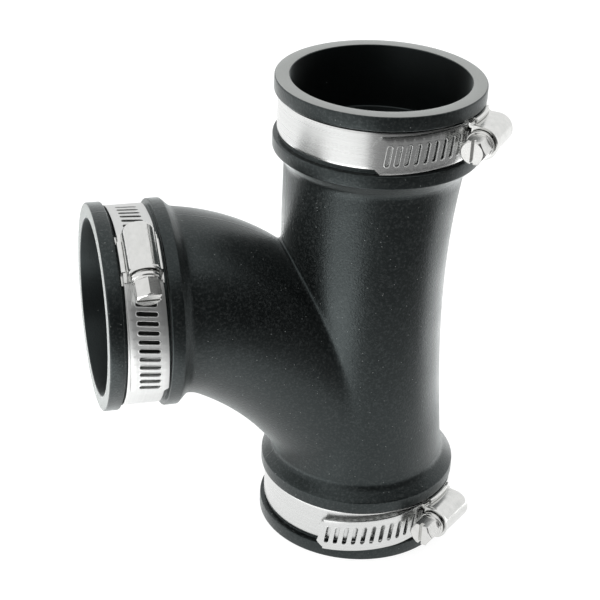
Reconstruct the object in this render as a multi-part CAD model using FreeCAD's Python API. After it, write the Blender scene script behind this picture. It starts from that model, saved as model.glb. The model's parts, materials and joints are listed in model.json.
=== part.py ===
import FreeCAD, Part
import math
import os
from FreeCAD import Vector

# Flexible repair tee: one moulded rubber body with three slip-on sockets, each drawn tight
# on its pipe by a worm-drive clamp. Millimetres, +Z up along the run, branch towards -X,
# origin at the centre of the bottom mouth.

# Pipe that the sockets slip over
PIPE_OD = 60.3
SLIP = 0.15

# Overall lengths, mouth to mouth and mouth to axis
RUN_LENGTH = 172.0
BRANCH_REACH = 97.1
BRANCH_HEIGHT = 95.0

# Socket, depths from its mouth inwards and walls from its bore outwards
SOCKET_DEPTH = 22.8
MOUTH_WALL = 5.1
LIP_WIDTH = 5.0
LIP_EDGE = 0.5
GROOVE_WALL = 2.8
GROOVE_PLAY = 1.38
COLLAR_WALL = 5.1
COLLAR_WIDTH = 4.4
SHOULDER = 4.2
FOOT_STEP = 1.0

# Moulded body between the sockets: the run bows in at its back, a little deeper above its
# middle than below, and the branch bends twice, tightly and then in a wide arc that meets the
# run's axis at a given heading
BODY_WALL = 5.0
BACK_BOW = 5.3
BACK_LEAN = 0.35
BEND_LEAD = -0.5
BEND_TIGHT = 43.6
BEND_TURN = 32.0
MEET_HEADING = 67.78
ELBOW_START_STEP = 2.2
ELBOW_END_STEP = -2.6
ROOT_IN = 1.2
RUN_STRETCHES = 8
BEND_STRETCHES = 12

# Clamp band and the way it wraps, angles in degrees of its path
BAND_WIDTH = 12.7
BAND_THICK = 0.6
RING_GAP = 0.3
LAYER_GAP = 0.05
ANCHOR_ANGLE = 12.0
WRAP_EASE = 20.0
CLIMB_EASE = 27.0
SETTLE = 0.45
TAIL_CLEAR = 0.25
BAND_STEP = 3.0

# Worm thread, and the slots that it drives
PITCH = 3.175
WORM_ROOT_R = 3.3
WORM_CREST_R = 4.4
THREAD_CREST = 0.6
THREAD_BASE = 1.5
THREAD_ROOT_IN = 0.3
THREAD_SIDES = 12
WORM_END_PLAY = 0.45
SLOT_PLAY = 0.31
SLOT_LENGTH = 7.0
SLOTS_BEHIND = 9
TAIL_MARGIN = 2.6
TAIL_CORNER = 3.0
TAIL_SCALLOP = 0.7

# Saddle under the band and housing over the worm
SADDLE_THICK = 0.7
SADDLE_LENGTH = 17.6
TAB_THICK = 0.6
TAB_GAP = 0.06
TAB_LENGTH = 11.0
TAB_FOLD_GAP = 0.16
HOUSING_LENGTH = 17.5
HOUSING_SKIN = 0.7
HOUSING_CLEAR = 0.25
FLANGE_THICK = 0.65
END_WALL = 0.9

# Screw outside the worm
NECK_R = 3.1
PILOT_R = 2.2
PILOT_PROUD = 0.25
BORE_PLAY = 0.3
COLLAR_CLEAR = 0.22
COLLAR_THICK = 1.4
WASHER_R = 4.3
WASHER_THICK = 0.8
HEX_FLATS = 7.94
HEX_LENGTH = 6.2
HEX_EDGE = 0.3
HEX_CHAMFER = 30.0
DRIVER_SLOT = 1.3
DRIVER_DEPTH = 1.8

# Clamps: shift from the middle of the groove away from the mouth, angle of the housing about
# the socket's axis, angle that the tail covers, its drift to one side, and whether it rides up
# on to the lip
CLAMPS = {
    "top": {"shift": -0.4, "angle": -40.0, "tail": 71.0, "drift": 1.5, "on_lip": False},
    "branch": {"shift": -0.2, "angle": 126.0, "tail": 85.0, "drift": 1.2, "on_lip": False},
    "bottom": {"shift": 0.4, "angle": -49.5, "tail": 79.0, "drift": 3.2, "on_lip": True},
}

# How far a cutting tool reaches past what it cuts
REACH = 4.0

# Widths that follow: the groove holds the saddle, whose tabs stand beside the band
TAB_IN = BAND_WIDTH / 2 + TAB_GAP
TAB_OUT = TAB_IN + TAB_THICK
GROOVE_WIDTH = 2 * TAB_OUT + GROOVE_PLAY
GROOVE_MIDDLE = LIP_WIDTH + GROOVE_WIDTH / 2
COLLAR_DEPTH = LIP_WIDTH + GROOVE_WIDTH + COLLAR_WIDTH
FOOT_DEPTH = COLLAR_DEPTH + SHOULDER
RUN_ROOT = COLLAR_DEPTH - ROOT_IN

# Radii that follow from the pipe
BORE_R = PIPE_OD / 2 + SLIP
LIP_R = BORE_R + MOUTH_WALL
GROOVE_R = BORE_R + GROOVE_WALL
COLLAR_R = BORE_R + COLLAR_WALL
FOOT_R = BORE_R + FOOT_STEP

# Radii in the clamp, from the groove outwards
RING_R = GROOVE_R + RING_GAP
INNER_LAYER_R = RING_R + SADDLE_THICK + LAYER_GAP
OUTER_LAYER_R = INNER_LAYER_R + BAND_THICK + LAYER_GAP
BAND_TOP_R = OUTER_LAYER_R + BAND_THICK
FLANGE_R = BAND_TOP_R + LAYER_GAP
SCREW_R = OUTER_LAYER_R + WORM_CREST_R
TAIL_R = OUTER_LAYER_R - SETTLE

# Sizes in the clamp that follow from its parts
HALF_HOUSING = HOUSING_LENGTH / 2
HOUSING_BORE_R = WORM_CREST_R + HOUSING_CLEAR
ARCH_R = HOUSING_BORE_R + HOUSING_SKIN
WORM_LENGTH = HOUSING_LENGTH - 2 * (END_WALL + WORM_END_PLAY)
HALF_SADDLE_ANGLE = math.degrees(SADDLE_LENGTH / 2 / RING_R)
SLOT_STEP = math.degrees(PITCH / (OUTER_LAYER_R + BAND_THICK / 2))
SLOT_SLANT = math.degrees(math.atan(PITCH / (math.pi * (WORM_ROOT_R + WORM_CREST_R))))
THREAD_FLARE = (THREAD_BASE - THREAD_CREST) / (WORM_CREST_R - WORM_ROOT_R)
SLOT_WIDTH = THREAD_CREST + THREAD_FLARE * BAND_THICK + SLOT_PLAY

X = Vector(1, 0, 0)
Y = Vector(0, 1, 0)
Z = Vector(0, 0, 1)
ORIGIN = Vector(0, 0, 0)


def save(name, shape):
    """Write one piece to its own file."""
    shape.exportStep("parts/" + name + ".step")


def flat_face(corners):
    """Flat face from the corners of its outline."""
    return Part.Face(Part.makePolygon(corners + corners[:1]))


def turned(points):
    """Solid of revolution about Z from (radius, height) corners."""
    return flat_face([Vector(r, 0, z) for r, z in points]).revolve(ORIGIN, Z, 360)


def box_between(low, high):
    """Box from its lowest to its highest corner."""
    size = high - low
    return Part.makeBox(size.x, size.y, size.z, low)


def placed(shape, placement):
    """Copy of a shape carried to a placement."""
    moved = shape.copy()
    moved.Placement = placement.multiply(moved.Placement)
    return moved


# Body: sockets

def mouths():
    """Placements that carry a socket from the origin to each of the three mouths."""
    branch = Vector(-BRANCH_REACH, 0, BRANCH_HEIGHT)
    return [
        FreeCAD.Placement(Vector(0, 0, RUN_LENGTH), FreeCAD.Rotation()),
        FreeCAD.Placement(ORIGIN, FreeCAD.Rotation(X, 180)),
        FreeCAD.Placement(branch, FreeCAD.Rotation(Y, -90)),
    ]


def socket_shell():
    """Outside of one socket, mouth at the origin and opening towards +Z."""
    groove_end = -LIP_WIDTH - GROOVE_WIDTH
    slope = SHOULDER / (COLLAR_R - FOOT_R)
    return turned([
        (0, 0),
        (LIP_R - LIP_EDGE, 0),
        (LIP_R, -LIP_EDGE),
        (LIP_R, -LIP_WIDTH),
        (GROOVE_R, -LIP_WIDTH),
        (GROOVE_R, groove_end),
        (COLLAR_R, groove_end),
        (COLLAR_R, -COLLAR_DEPTH),
        (FOOT_R - ROOT_IN, -FOOT_DEPTH - ROOT_IN * slope),
        (0, -FOOT_DEPTH - ROOT_IN * slope),
    ])


# Body: run and elbow

def run_back(z, wall):
    """Back half of the run's section at a height: half an ellipse, closed along Y."""
    rise = (z - RUN_LENGTH / 2) / (RUN_LENGTH / 2 - RUN_ROOT)
    bow = max(BACK_BOW * (1 - rise ** 2) * (1 + BACK_LEAN * rise), 0)
    side = FOOT_R - wall
    ellipse = Part.Ellipse(Vector(0, side, z), Vector(side - bow, 0, z), Vector(0, 0, z))
    arc = Part.ArcOfEllipse(ellipse, 0, math.pi).toShape()
    return Part.Wire([arc, Part.makeLine(Vector(0, -side, z), Vector(0, side, z))])


def run_bar(margin, wall):
    """The run between two margins from its mouths: straight in front, bowed in at its back."""
    length = RUN_LENGTH - 2 * margin
    heights = [margin + length * i / RUN_STRETCHES for i in range(RUN_STRETCHES + 1)]
    back = Part.makeLoft([run_back(z, wall) for z in heights], True, True)
    front = Part.makeCylinder(FOOT_R - wall, length, Vector(0, 0, margin), Z, 180)
    front.rotate(ORIGIN, Z, 90)
    return back.fuse(front)


def bend_start():
    """Point of the branch's axis where its bend begins."""
    return Vector(-BRANCH_REACH + COLLAR_DEPTH + BEND_LEAD, 0, BRANCH_HEIGHT)


def bend_wide():
    """Radius of the wide arc, which starts after the tight one and ends on the run's axis."""
    turn = math.sin(math.radians(BEND_TURN))
    meet = math.sin(math.radians(MEET_HEADING))
    return (-bend_start().x - BEND_TIGHT * turn) / (meet - turn)


def elbow_point(heading):
    """Point of the elbow's axis where it heads down by an angle."""
    tight = min(heading, math.radians(BEND_TURN))
    x = BEND_TIGHT * math.sin(tight) + bend_wide() * (math.sin(heading) - math.sin(tight))
    drop = BEND_TIGHT * (1 - math.cos(tight)) + bend_wide() * (math.cos(tight) - math.cos(heading))
    return bend_start() + Vector(x, 0, -drop)


def elbow_run(heading):
    """Length of the elbow's axis up to a heading."""
    tight = min(heading, math.radians(BEND_TURN))
    return BEND_TIGHT * tight + bend_wide() * (heading - tight)


def elbow_radius(heading):
    """Outer radius, widest at the branch and easing down along the axis."""
    left = 1 - elbow_run(heading) / elbow_run(math.radians(MEET_HEADING))
    return BORE_R + ELBOW_END_STEP + (ELBOW_START_STEP - ELBOW_END_STEP) * left ** 2


def elbow_bar(lead_in, wall):
    """The branch along its bent axis, with a straight lead-in towards its mouth."""
    rings = [Part.makeCircle(elbow_radius(0) - wall, bend_start() - X * lead_in, X)]
    for i in range(BEND_STRETCHES + 1):
        heading = math.radians(MEET_HEADING) * i / BEND_STRETCHES
        axis = Vector(math.cos(heading), 0, -math.sin(heading))
        rings.append(Part.makeCircle(elbow_radius(heading) - wall, elbow_point(heading), axis))
    return Part.makeLoft([Part.Wire(ring) for ring in rings], True, True)


def tee_body():
    outside = run_bar(RUN_ROOT, 0).fuse(elbow_bar(ROOT_IN, 0))
    body = outside.fuse([placed(socket_shell(), mouth) for mouth in mouths()])
    bore = Part.makeCylinder(BORE_R, SOCKET_DEPTH, Vector(0, 0, -SOCKET_DEPTH), Z)
    waterway = run_bar(SOCKET_DEPTH, BODY_WALL)
    lead_in = COLLAR_DEPTH + BEND_LEAD - SOCKET_DEPTH
    hollows = [placed(bore, mouth) for mouth in mouths()]
    hollows += [waterway, elbow_bar(lead_in, BODY_WALL)]
    return body.cut(hollows).Solids[0]


# Clamp: each is drawn with the ring's axis along Z, its housing on +X and its screw along Y
# with the head towards -Y. The band's path angle runs from the anchored end, past 0 under the
# housing, once round to 360 under the worm and on to the end of the tail.

def eased(angle, start, length):
    """0 before start, 1 past its length, smooth in between."""
    t = min(max((angle - start) / length, 0), 1)
    return t * t * (3 - 2 * t)


def band_radius(angle, clamp):
    """Inner radius of the band at an angle of its path."""
    down = eased(angle, HALF_SADDLE_ANGLE, WRAP_EASE)
    climb = eased(angle, 360 - HALF_SADDLE_ANGLE - CLIMB_EASE, CLIMB_EASE)
    settle = eased(angle, 360 + HALF_SADDLE_ANGLE, WRAP_EASE)
    tail_r = LIP_R + TAIL_CLEAR if clamp["on_lip"] else TAIL_R
    radius = INNER_LAYER_R + (RING_R - INNER_LAYER_R) * down
    return radius + (OUTER_LAYER_R - RING_R) * climb + (tail_r - OUTER_LAYER_R) * settle


def band_point(angle, clamp, out, side):
    """Point of the band: out from its inner face, side along the ring's axis."""
    radius = band_radius(angle, clamp) + out
    turn = math.radians(-angle)
    free = max(angle - 360 - HALF_SADDLE_ANGLE, 0) / (clamp["tail"] - HALF_SADDLE_ANGLE)
    return Vector(radius * math.cos(turn), radius * math.sin(turn), side - clamp["drift"] * free)


def strip(clamp, start, end):
    """Solid piece of the band between two path angles."""
    count = math.ceil((end - start) / BAND_STEP)
    angles = [start + (end - start) * i / count for i in range(count + 1)]
    half = BAND_WIDTH / 2
    corners = [(0, -half), (0, half), (BAND_THICK, half), (BAND_THICK, -half)]
    edges = []
    for out, side in corners:
        curve = Part.BSplineCurve()
        curve.interpolate([band_point(angle, clamp, out, side) for angle in angles])
        edges.append(curve.toShape())
    faces = [Part.makeRuledSurface(edges[i - 1], edges[i]) for i in range(4)]
    for angle in (start, end):
        faces.append(flat_face([band_point(angle, clamp, out, side) for out, side in corners]))
    shell = Part.makeShell(faces)
    shell.sewShape()
    return Part.makeSolid(shell)


def on_band(shape, angle, clamp):
    """Carry a shape from the origin to the band: +X outwards, +Y back along the path."""
    here = band_point(angle, clamp, 0, 0)
    back = band_point(angle - BAND_STEP / 2, clamp, 0, 0)
    ahead = band_point(angle + BAND_STEP / 2, clamp, 0, 0)
    turn = math.degrees(math.atan2(ahead.x - back.x, back.y - ahead.y))
    return placed(shape, FreeCAD.Placement(here, FreeCAD.Rotation(Z, turn)))


def slot_tool():
    """Prism that cuts one slot, slanted to the lead of the worm."""
    corner = Vector(REACH, SLOT_WIDTH / 2, SLOT_LENGTH / 2)
    tool = box_between(-corner, corner)
    return placed(tool, FreeCAD.Placement(ORIGIN, FreeCAD.Rotation(X, -SLOT_SLANT)))


def slot_angles(clamp):
    """Path angles of the slots, one pitch apart and in step with the worm."""
    margin = math.degrees(TAIL_MARGIN / OUTER_LAYER_R)
    ahead = int((clamp["tail"] - margin) / SLOT_STEP)
    return [360 + SLOT_STEP * k for k in range(-SLOTS_BEHIND, ahead + 1)]


def tail_tools():
    """Prisms that cut the two corners and the hollow of the tail's end."""
    half = BAND_WIDTH / 2
    tools = []
    for side in (-1, 1):
        outline = [
            Vector(-REACH, -REACH, side * (half - TAIL_CORNER - REACH)),
            Vector(-REACH, TAIL_CORNER + REACH, side * (half + REACH)),
            Vector(-REACH, -REACH, side * (half + REACH)),
        ]
        tools.append(flat_face(outline).extrude(X * 2 * REACH))
    chord = half - TAIL_CORNER
    radius = (chord ** 2 + TAIL_SCALLOP ** 2) / (2 * TAIL_SCALLOP)
    centre = Vector(-REACH, TAIL_SCALLOP - radius, 0)
    tools.append(Part.makeCylinder(radius, 2 * REACH, centre, X))
    return tools


def band(clamp):
    """Anchored ring and slotted tail of one band."""
    slotted_from = 360 - (SLOTS_BEHIND + 2) * SLOT_STEP
    end = 360 + clamp["tail"]
    wrap = strip(clamp, -ANCHOR_ANGLE, slotted_from)
    tools = [on_band(slot_tool(), angle, clamp) for angle in slot_angles(clamp)]
    tools += [on_band(tool, end, clamp) for tool in tail_tools()]
    slotted = strip(clamp, slotted_from, end).cut(tools)
    return wrap.fuse(slotted).Solids[0]


def ring_piece(inner, outer, length, low, high):
    """Piece of a ring about Z, around +X and cut square to a length along Y."""
    ring = Part.makeCylinder(outer, high - low, Vector(0, 0, low), Z)
    ring = ring.cut(Part.makeCylinder(inner, high - low, Vector(0, 0, low), Z))
    window = box_between(Vector(0, -length / 2, low), Vector(outer, length / 2, high))
    return ring.common(window)


def saddle():
    """Plate under the band, with a tab on each side that folds in over the housing's flange."""
    fold_in = ARCH_R + TAB_FOLD_GAP
    fold_r = FLANGE_R + FLANGE_THICK + LAYER_GAP
    plate = ring_piece(RING_R, RING_R + SADDLE_THICK, SADDLE_LENGTH, -TAB_OUT, TAB_OUT)
    mirrored = FreeCAD.Placement(ORIGIN, FreeCAD.Rotation(X, 180))
    tab = ring_piece(RING_R, fold_r + TAB_THICK, TAB_LENGTH, TAB_IN, TAB_OUT)
    fold = ring_piece(fold_r, fold_r + TAB_THICK, TAB_LENGTH, fold_in, TAB_OUT)
    side = tab.fuse(fold)
    return plate.fuse([side, placed(side, mirrored)]).removeSplitter().Solids[0]


def tunnel(radius, half_length):
    """Half round on straight sides, about the screw's axis and down past the band."""
    start = Vector(SCREW_R, -half_length, 0)
    arch = Part.makeCylinder(radius, 2 * half_length, start, Y)
    low = Vector(INNER_LAYER_R, -half_length, -radius)
    return arch.fuse(box_between(low, Vector(SCREW_R, half_length, radius)))


def housing():
    """Arched cap over the worm, open to the band, with a flange on each side."""
    half_band = BAND_WIDTH / 2
    flanges = ring_piece(FLANGE_R, FLANGE_R + FLANGE_THICK, HOUSING_LENGTH, -half_band, half_band)
    cover = tunnel(ARCH_R, HALF_HOUSING)
    room = tunnel(HOUSING_BORE_R, HALF_HOUSING - END_WALL)
    below = Part.makeCylinder(FLANGE_R, BAND_WIDTH, Vector(0, 0, -half_band), Z)
    middle = Vector(SCREW_R, 0, 0)
    neck_hole = Part.makeCylinder(NECK_R + BORE_PLAY, HOUSING_LENGTH, middle, -Y)
    pilot_hole = Part.makeCylinder(PILOT_R + BORE_PLAY, HOUSING_LENGTH, middle, Y)
    return flanges.fuse(cover).cut([room, below, neck_hole, pilot_hole]).Solids[0]


def thread(start, end):
    """Trapezoid rib wound on the worm about Z, its crest on -X where Z is 0."""
    first = start + THREAD_BASE / 2
    last = end - THREAD_BASE / 2
    count = round(THREAD_SIDES * (last - first) / PITCH)
    root = WORM_ROOT_R - THREAD_ROOT_IN
    base = (THREAD_BASE + THREAD_FLARE * THREAD_ROOT_IN) / 2
    crest = THREAD_CREST / 2
    corners = [(root, -base), (WORM_CREST_R, -crest), (WORM_CREST_R, crest), (root, base)]
    outlines = []
    for i in range(count + 1):
        z = first + (last - first) * i / count
        turn = math.pi + 2 * math.pi * z / PITCH
        across = Vector(math.cos(turn), math.sin(turn), 0)
        outlines.append([across * radius + Z * (z + offset) for radius, offset in corners])
    faces = [flat_face(outlines[0]), flat_face(outlines[-1])]
    for here, ahead in zip(outlines, outlines[1:]):
        for i in range(4):
            faces.append(flat_face([here[i - 1], here[i], ahead[i]]))
            faces.append(flat_face([here[i - 1], ahead[i], ahead[i - 1]]))
    shell = Part.makeShell(faces)
    shell.sewShape()
    return Part.makeSolid(shell)


def screw_turning(head_end, worm_start):
    """Round parts of the screw about Z: washer, collar, neck, worm core and pilot."""
    collar_start = -HALF_HOUSING - WORM_END_PLAY
    washer_start = collar_start - COLLAR_THICK
    worm_end = worm_start + WORM_LENGTH
    pilot_end = HALF_HOUSING + PILOT_PROUD
    collar_r = SCREW_R - math.sqrt(BAND_TOP_R ** 2 - collar_start ** 2) - COLLAR_CLEAR
    return turned([
        (0, head_end),
        (WASHER_R, head_end),
        (WASHER_R, washer_start),
        (collar_r, washer_start),
        (collar_r, collar_start),
        (NECK_R, collar_start),
        (NECK_R, worm_start),
        (WORM_ROOT_R, worm_start),
        (WORM_ROOT_R, worm_end),
        (PILOT_R, worm_end),
        (PILOT_R, pilot_end),
        (0, pilot_end),
    ])


def hexagon(start, length):
    """Hexagonal head about Z with its free edge chamfered, the driver slot cut across it."""
    corner_r = HEX_FLATS / math.sqrt(3)
    corners = []
    for i in range(6):
        turn = math.radians(60 * i)
        corners.append(Vector(corner_r * math.cos(turn), corner_r * math.sin(turn), start))
    prism = flat_face(corners).extrude(Z * length)
    face_r = HEX_FLATS / 2 - HEX_EDGE
    wide_r = face_r + length / math.tan(math.radians(HEX_CHAMFER))
    prism = prism.common(Part.makeCone(face_r, wide_r, length, Vector(0, 0, start), Z))
    low = Vector(-DRIVER_SLOT / 2, -HEX_FLATS, start)
    high = Vector(DRIVER_SLOT / 2, HEX_FLATS, start + DRIVER_DEPTH)
    return prism.cut(box_between(low, high))


def screw():
    """Worm screw in its clamp: hex head towards -Y, worm under the arch, pilot at the tip."""
    worm_start = END_WALL + WORM_END_PLAY - HALF_HOUSING
    hex_end = -HALF_HOUSING - WORM_END_PLAY - COLLAR_THICK - WASHER_THICK
    core = screw_turning(hex_end, worm_start)
    rib = thread(worm_start, worm_start + WORM_LENGTH)
    head = hexagon(hex_end - HEX_LENGTH, HEX_LENGTH)
    shape = core.fuse([rib, head]).Solids[0]
    return placed(shape, FreeCAD.Placement(X * SCREW_R, FreeCAD.Rotation(X, -90)))


def clamp_places():
    """Placements that carry each clamp to its socket, its housing at the clamp's angle."""
    depth = {name: GROOVE_MIDDLE + clamp["shift"] for name, clamp in CLAMPS.items()}
    top = Vector(0, 0, RUN_LENGTH - depth["top"])
    branch = Vector(depth["branch"] - BRANCH_REACH, 0, BRANCH_HEIGHT)
    bottom = Vector(0, 0, depth["bottom"])
    to_branch = FreeCAD.Rotation(Y, -Z, -X, "ZXY")
    on_branch = to_branch.multiply(FreeCAD.Rotation(Z, -CLAMPS["branch"]["angle"]))
    return {
        "top": FreeCAD.Placement(top, FreeCAD.Rotation(Z, CLAMPS["top"]["angle"])),
        "branch": FreeCAD.Placement(branch, on_branch),
        "bottom": FreeCAD.Placement(bottom, FreeCAD.Rotation(Z, CLAMPS["bottom"]["angle"])),
    }


os.makedirs("parts", exist_ok=True)
save("tee_body", tee_body())
for name, place in clamp_places().items():
    save(name + "_band", placed(band(CLAMPS[name]), place))
    save(name + "_saddle", placed(saddle(), place))
    save(name + "_housing", placed(housing(), place))
    save(name + "_screw", placed(screw(), place))
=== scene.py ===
# %% [markdown]
# # A rubber repair tee and its three clamps
# The frame holds the fitting as plain solids: one moulded rubber tee and three worm-drive clamps.
# They leave out the soft roll of moulded edges, the crease where the branch melts into the run,
# the grain of rubber and the shine of rolled steel. So each piece is worked out again here as a
# smooth surface of two parameters, in the same place.

# %% Load the frame
import json
import math

import bmesh
import bpy
import numpy as np
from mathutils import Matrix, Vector


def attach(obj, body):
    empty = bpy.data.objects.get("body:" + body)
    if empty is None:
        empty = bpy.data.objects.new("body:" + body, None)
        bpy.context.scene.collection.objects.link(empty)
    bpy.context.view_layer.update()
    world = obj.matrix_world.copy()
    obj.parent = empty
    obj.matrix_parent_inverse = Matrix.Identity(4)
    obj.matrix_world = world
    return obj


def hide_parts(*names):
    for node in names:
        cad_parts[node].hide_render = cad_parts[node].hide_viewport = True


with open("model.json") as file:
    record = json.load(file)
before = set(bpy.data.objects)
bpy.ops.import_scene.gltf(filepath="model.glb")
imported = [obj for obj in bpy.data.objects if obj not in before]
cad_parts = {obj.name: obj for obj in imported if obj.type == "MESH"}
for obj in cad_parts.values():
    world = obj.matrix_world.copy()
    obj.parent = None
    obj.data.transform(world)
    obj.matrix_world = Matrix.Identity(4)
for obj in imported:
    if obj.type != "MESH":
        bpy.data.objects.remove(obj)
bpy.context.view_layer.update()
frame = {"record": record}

# %% [markdown]
# ## Sizes
# The frame's record says where the three mouths are and how wide and deep their bores go. The
# walls and steps around them are the moulding's own, and everything else follows from the two.

# %% Sizes of the moulded tee, in millimetres
MM = 0.001


def in_mm(values):
    """Lengths in metres as an array in millimetres."""
    return np.array(values) / MM


mounts = {mount["name"]: mount for mount in frame["record"]["mounts"]}
BORE_R = mounts["top_socket"]["dims"]["r_mm"]
SOCKET_DEPTH = mounts["top_socket"]["dims"]["length_mm"]
RUN_LENGTH = in_mm(mounts["top_socket"]["pos_m"])[2]
BRANCH_X, _, BRANCH_Z = in_mm(mounts["branch_socket"]["pos_m"])

LIP_WIDTH = 5.0
COLLAR_START = 20.4
COLLAR_DEPTH = 24.8
SHOULDER = 4.2
FOOT_DEPTH = COLLAR_DEPTH + SHOULDER
LIP_R = COLLAR_R = BORE_R + 5.1
GROOVE_R = BORE_R + 2.8
FOOT_R = BORE_R + 1.0
WALL = 5.0
BACK_BOW = 5.3
BACK_LEAN = 0.35
BOW_RUNS_PAST = 1.2
BEND_LEAD = -0.5
print("run", RUN_LENGTH, "bore", BORE_R, "branch mouth at", BRANCH_X, BRANCH_Z)

# %% [markdown]
# ## Meshes from grids
# A surface of two parameters is a grid of points, and four neighbours make a face. A piece is
# several grids that share their edges, so its points are welded where they coincide, which
# closes seams and poles, and its faces are turned outwards.

# %% Turn grids into one piece
WELD_REACH = 0.002


def joined(*parts):
    """Coordinates, each a number or an array, as points of one common shape."""
    return np.stack(np.broadcast_arrays(*parts), -1)


def grid(points, finish=0, closed=True):
    """Rows of points as points and four-sided faces. finish is a material number, one for each
    strip between two rows, or one for each face. closed joins the last column to the first."""
    rows, columns = points.shape[:2]
    index = np.arange(rows * columns).reshape(rows, columns)
    if closed:
        index = np.hstack([index, index[:, :1]])
    corners = [index[:-1, :-1], index[:-1, 1:], index[1:, 1:], index[1:, :-1]]
    faces = np.stack(corners, axis=-1)
    finish = np.reshape(finish, (-1, 1)) if np.ndim(finish) < 2 else finish
    finishes = np.broadcast_to(finish, faces.shape[:2])
    return points.reshape(-1, 3), faces.reshape(-1, 4), finishes.reshape(-1)


def make_piece(name, grids, materials, body, stands_for, sharp=32):
    """One object from grids in millimetres, welded, smooth up to an edge angle in degrees,
    that rides on a body and stands for one of its solids."""
    starts = np.cumsum([0] + [len(points) for points, _, _ in grids])
    points = np.vstack([points for points, _, _ in grids]) * MM
    faces = np.vstack([faces + start for (_, faces, _), start in zip(grids, starts)])
    mesh = bpy.data.meshes.new(name)
    mesh.from_pydata(points.tolist(), [], faces.tolist())
    mesh.polygons.foreach_set("material_index", np.concatenate([f for _, _, f in grids]))
    for material in materials:
        mesh.materials.append(material)
    weld = bmesh.new()
    weld.from_mesh(mesh)
    bmesh.ops.remove_doubles(weld, verts=weld.verts, dist=WELD_REACH * MM)
    bmesh.ops.recalc_face_normals(weld, faces=weld.faces)
    open_edges = sum(not edge.is_manifold for edge in weld.edges)
    weld.to_mesh(mesh)
    weld.free()
    mesh.shade_smooth()
    mesh.set_sharp_from_angle(angle=math.radians(sharp))
    made = bpy.data.objects.new(name, mesh)
    bpy.context.scene.collection.objects.link(made)
    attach(made, body)
    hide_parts(stands_for)
    print(name, len(mesh.polygons), "faces,", open_edges, "edges left open")


# %% Outline with rounded corners
def unit(vector):
    """The vector's direction, at length 1."""
    return vector / np.linalg.norm(vector)


def rounded(corners, steps=5):
    """Points along straight sides with an arc at each corner that touches both of its sides.
    corners holds (x, y, arc radius); the arc's centre lies on the line that halves the corner,
    radius / sin(half of it) away."""
    corners = np.array(corners, float)
    outline = [corners[:1, :2]]
    for before, here, after in zip(corners, corners[1:], corners[2:]):
        back, ahead = unit((before - here)[:2]), unit((after - here)[:2])
        if here[2] == 0:
            outline.append(here[None, :2])
            continue
        half = math.acos(np.clip(back @ ahead, -1, 1)) / 2
        centre = here[:2] + unit(back + ahead) * here[2] / math.sin(half)
        reach = here[2] / math.tan(half)
        first = here[:2] + back * reach - centre
        last = here[:2] + ahead * reach - centre
        turn = math.pi - 2 * half
        share = np.linspace(0, 1, steps)[:, None]
        arc = (np.sin((1 - share) * turn) * first + np.sin(share * turn) * last) / math.sin(turn)
        outline.append(centre + arc)
    outline.append(corners[-1:, :2])
    return np.vstack(outline)


# %% [markdown]
# ## Finishes
# A finish starts from what the real material is. Its colours are written as they look on a
# screen and turned to linear light, and its patterns are sized in real millimetres. One function
# adds a node and sets it, so a material reads from top to bottom.

# %% Colours and nodes
def colour(hex_code):
    """Screen colour as linear light: the low end divided by 12.92, the rest raised to 2.4."""
    screen = np.array([int(hex_code[i:i + 2], 16) for i in (1, 3, 5)]) / 255
    linear = np.where(screen <= 0.04045, screen / 12.92, ((screen + 0.055) / 1.055) ** 2.4)
    return (*linear.tolist(), 1.0)


def node(tree, kind, inputs=None, **options):
    """Add a shader node, set its options, and give each input a value or another's output."""
    made = tree.nodes.new("ShaderNode" + kind)
    for name, value in options.items():
        setattr(made, name, value)
    for name, value in (inputs or {}).items():
        if isinstance(value, bpy.types.NodeSocket):
            tree.links.new(value, made.inputs[name])
        else:
            made.inputs[name].default_value = value
    return made


def new_material(name):
    """Empty material and its node tree."""
    material = bpy.data.materials.new(name)
    material.use_nodes = True
    material.node_tree.nodes.clear()
    return material, material.node_tree


# %% [markdown]
# ### Rubber
# The tee is moulded from a black elastomer. Its skin copies a blasted steel mould, so it is
# satin: dark in itself, with broad pale reflections, a fine grain and a faint line where the
# mould's halves met. Wax blooms out of it as a thin film, which cools its reflections a little,
# and mould dust sits on it as pale specks. The mouths are trimmed after moulding. The bores and
# the waterway get a blacker rubber, a painted shade that makes them read as deep.

# %% Rubber finishes
MOTTLE, DUST_CELL, FILM, GRAIN = 22, 1.7, 0.9, 0.6
SPECK_RADIUS, SPECK_STRENGTH = 0.08, 0.8
SEAM_HALF_WIDTH = 0.45
GLOSS_DRIFT = 0.05


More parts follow.
